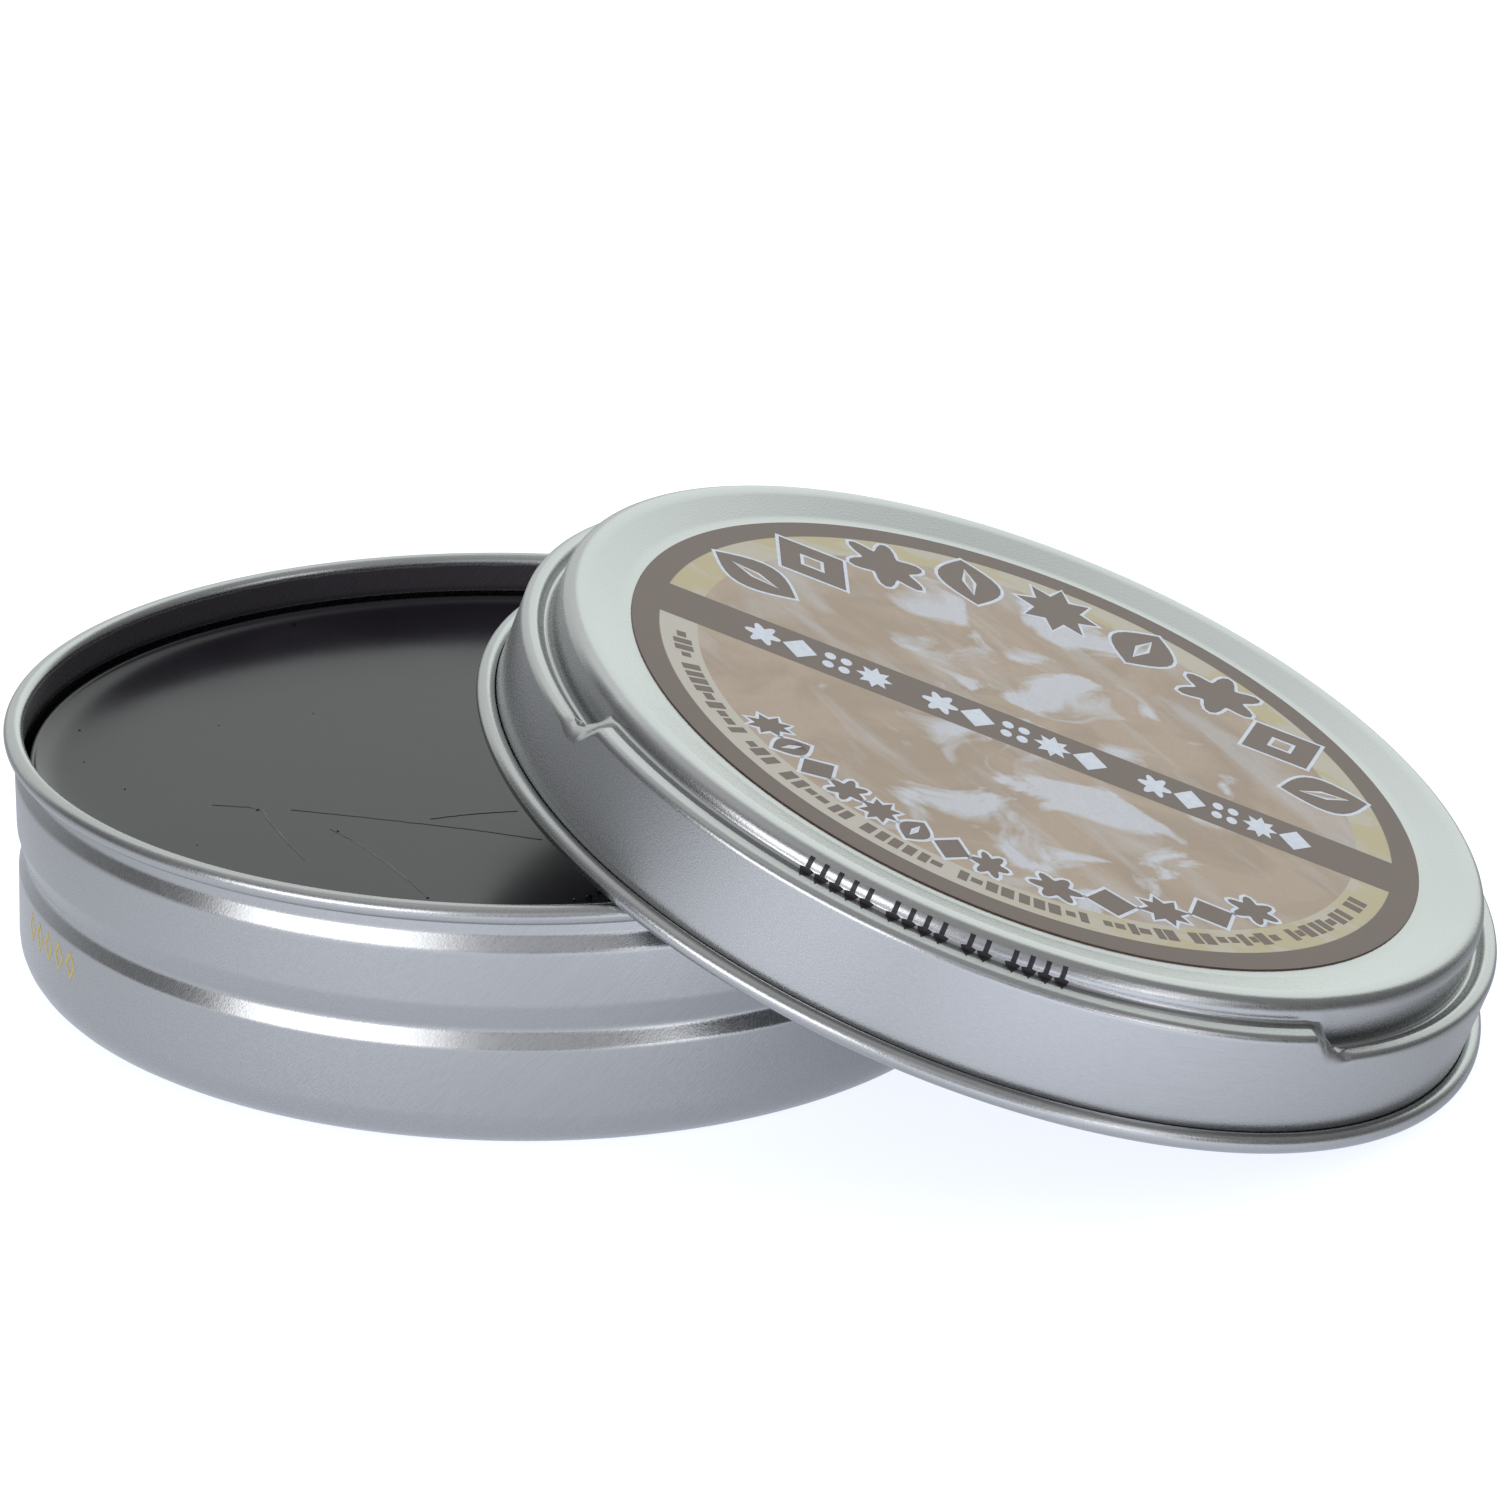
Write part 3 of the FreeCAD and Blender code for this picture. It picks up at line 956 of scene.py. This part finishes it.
def make_camera():
    data = bpy.data.cameras.new("camera")
    data.lens, data.sensor_width = CAMERA_LENS, CAMERA_SENSOR
    data.clip_start, data.clip_end = 0.01, 20.0
    camera = bpy.data.objects.new("camera", data)
    bpy.context.scene.collection.objects.link(camera)
    ahead = Vector((math.sin(CAMERA_YAW) * math.cos(CAMERA_PITCH),
                    math.cos(CAMERA_YAW) * math.cos(CAMERA_PITCH), -math.sin(CAMERA_PITCH)))
    level = Vector((math.cos(CAMERA_YAW), -math.sin(CAMERA_YAW), 0))
    right = level * math.cos(CAMERA_ROLL) + ahead.cross(level) * math.sin(CAMERA_ROLL)
    up = right.cross(ahead)
    turn = Matrix((right, up, -ahead)).transposed().to_4x4()
    camera.matrix_world = Matrix.Translation(CAMERA_PLACE) @ turn
    bpy.context.scene.camera = camera


# Bright pools on the table where the tin reflects it: middle in millimetres, glow
# there, and how much less each millimetre out.
POOLS = (((105, -105), 2.3, 0.018), ((0, -150), 1.45, 0.006))
LEAST_GLOW, SEEN_GLOW = 0.15, 0.95         # away from the pools, and as the camera sees it
FLOOR_REACH = 6.0                          # half the table's side, in metres


def make_floor():
    """A pale table top that glows like a light table."""
    made = Recipe("studio_floor", TIN_PLACE, Roughness=0.9, Specular_IOR_Level=0.1)
    x, y, _ = made.axes()
    place = made.node("ShaderNodeCombineXYZ", X=x, Y=y).outputs[0]
    pool = LEAST_GLOW
    for middle, glow, fall in POOLS:
        off = made.node("ShaderNodeVectorMath", {"operation": "DISTANCE"}, i0=place, i1=(*middle, 0))
        here = made.math("MULTIPLY_ADD", off.outputs["Value"], -fall, glow)
        pool = made.math("MAXIMUM", here, pool)
    seen = made.node("ShaderNodeLightPath").outputs["Is Camera Ray"]
    made.set("Base Color", rgb(0.42, 0.42, 0.43))
    made.set("Emission Color", rgb(0.84, 0.88, 1.0))
    glow_seen = made.math("MULTIPLY", seen, SEEN_GLOW)
    made.set("Emission Strength", made.math("MAXIMUM", pool, glow_seen))
    mesh = bpy.data.meshes.new("floor")
    far = FLOOR_REACH
    corners = [(-far, -far, 0), (far, -far, 0), (far, far, 0), (-far, far, 0)]
    mesh.from_pydata(corners, [], [(0, 1, 2, 3)])
    mesh.materials.append(made.material)
    floor = bpy.data.objects.new("floor", mesh)
    bpy.context.scene.collection.objects.link(floor)


# The room's light: panels by azimuth (0 along +X, anticlockwise from above) and
# elevation, in degrees: middle, half width, softness, lowest, highest, softness,
# and brightness.
ROOM_LOW, ROOM_HIGH = 0.20, 0.62           # brightness near the horizon, and overhead
PANELS = (
    (112, 48, 14, -10, 60, 16, (0.78, 0.83, 0.80)),    # pale wall behind
    (84, 18, 12, -10, 44, 14, (0.50, 0.56, 0.52)),     # its brightest part
    (170, 90, 60, 50, 100, 30, (0.22, 0.22, 0.23)),    # pale ceiling toward the left
    (-114, 24, 8, -6, 25, 12, (4.0, 4.0, 4.1)),        # key softbox, front left
    (-38, 11, 8, -6, 10, 8, (3.6, 3.6, 3.7)),          # second softbox, front right
    (-27, 9, 8, 8, 22, 8, (2.5, 2.5, 2.6)),            # which leans
    (-14, 9, 8, 20, 37, 9, (2.0, 2.0, 2.1)),
    (-70, 18, 16, 4, 42, 12, (0.50, 0.51, 0.55)),      # gap between the two
)


def make_world():
    """Pale all round for the camera; for the tin a room with soft bright panels."""
    world = bpy.data.worlds.new("studio")
    bpy.context.scene.world = world
    world.use_nodes = True
    tree = world.node_tree
    tree.nodes.clear()

    def node(kind, settings=(), **inputs):
        return add_node(tree, kind, settings, **inputs)

    def calc(operation, a, b=0.0, c=0.0):
        return node("ShaderNodeMath", {"operation": operation}, i0=a, i1=b, i2=c).outputs[0]

    def soft(value, low, high, to_low=0.0, to_high=1.0):
        return node("ShaderNodeMapRange", {"interpolation_type": "SMOOTHSTEP"}, Value=value,
                    From_Min=low, From_Max=high, To_Min=to_low, To_Max=to_high).outputs[0]

    direction = node("ShaderNodeTexCoord").outputs["Generated"]
    way = node("ShaderNodeSeparateXYZ", Vector=direction).outputs
    azimuth = calc("DEGREES", calc("ARCTAN2", way[1], way[0]))
    elevation = calc("DEGREES", calc("ARCSINE", way[2]))
    base = soft(elevation, 0, 75, ROOM_LOW, ROOM_HIGH)
    light = node("ShaderNodeCombineXYZ", X=base, Y=base, Z=base).outputs[0]
    for middle, half, side_soft, low, high, edge_soft, brightness in PANELS:
        off = calc("ABSOLUTE", calc("WRAP", calc("SUBTRACT", azimuth, middle), 180, -180))
        share = soft(off, half - side_soft / 2, half + side_soft / 2, 1.0, 0.0)
        over = soft(elevation, low - edge_soft / 2, low + edge_soft / 2)
        share = calc("MULTIPLY", share, over)
        under = soft(elevation, high - edge_soft / 2, high + edge_soft / 2, 1.0, 0.0)
        share = calc("MULTIPLY", share, under)
        panel = node("ShaderNodeVectorMath", {"operation": "SCALE"}, i0=brightness, Scale=share)
        light = node("ShaderNodeVectorMath", {"operation": "ADD"}, i0=light, i1=panel.outputs[0])
        light = light.outputs[0]
    room = node("ShaderNodeBackground", Color=light)
    white = node("ShaderNodeBackground", Color=rgb(1, 1, 1))
    seen = node("ShaderNodeLightPath").outputs["Is Camera Ray"]
    either = node("ShaderNodeMixShader", i0=seen, i1=room.outputs[0], i2=white.outputs[0])
    node("ShaderNodeOutputWorld", i0=either.outputs[0])


def make_studio():
    """Camera, table and room; the standard view keeps the pale table from greying."""
    bpy.context.scene.view_settings.view_transform = "Standard"
    make_camera()
    make_floor()
    make_world()


# ---- everything --------------------------------------------------------------

wax_material = wax()
dark_wax = ink("wax_torn", TIN_PLACE, (0.006, 0.005, 0.005), 0.35)
make_cup()
make_wax(wax_material)
make_scratches(dark_wax)
make_crumbs(dark_wax)
make_lid()
make_label()
make_label_marks()
make_press_print()
make_batch_print()
make_studio()
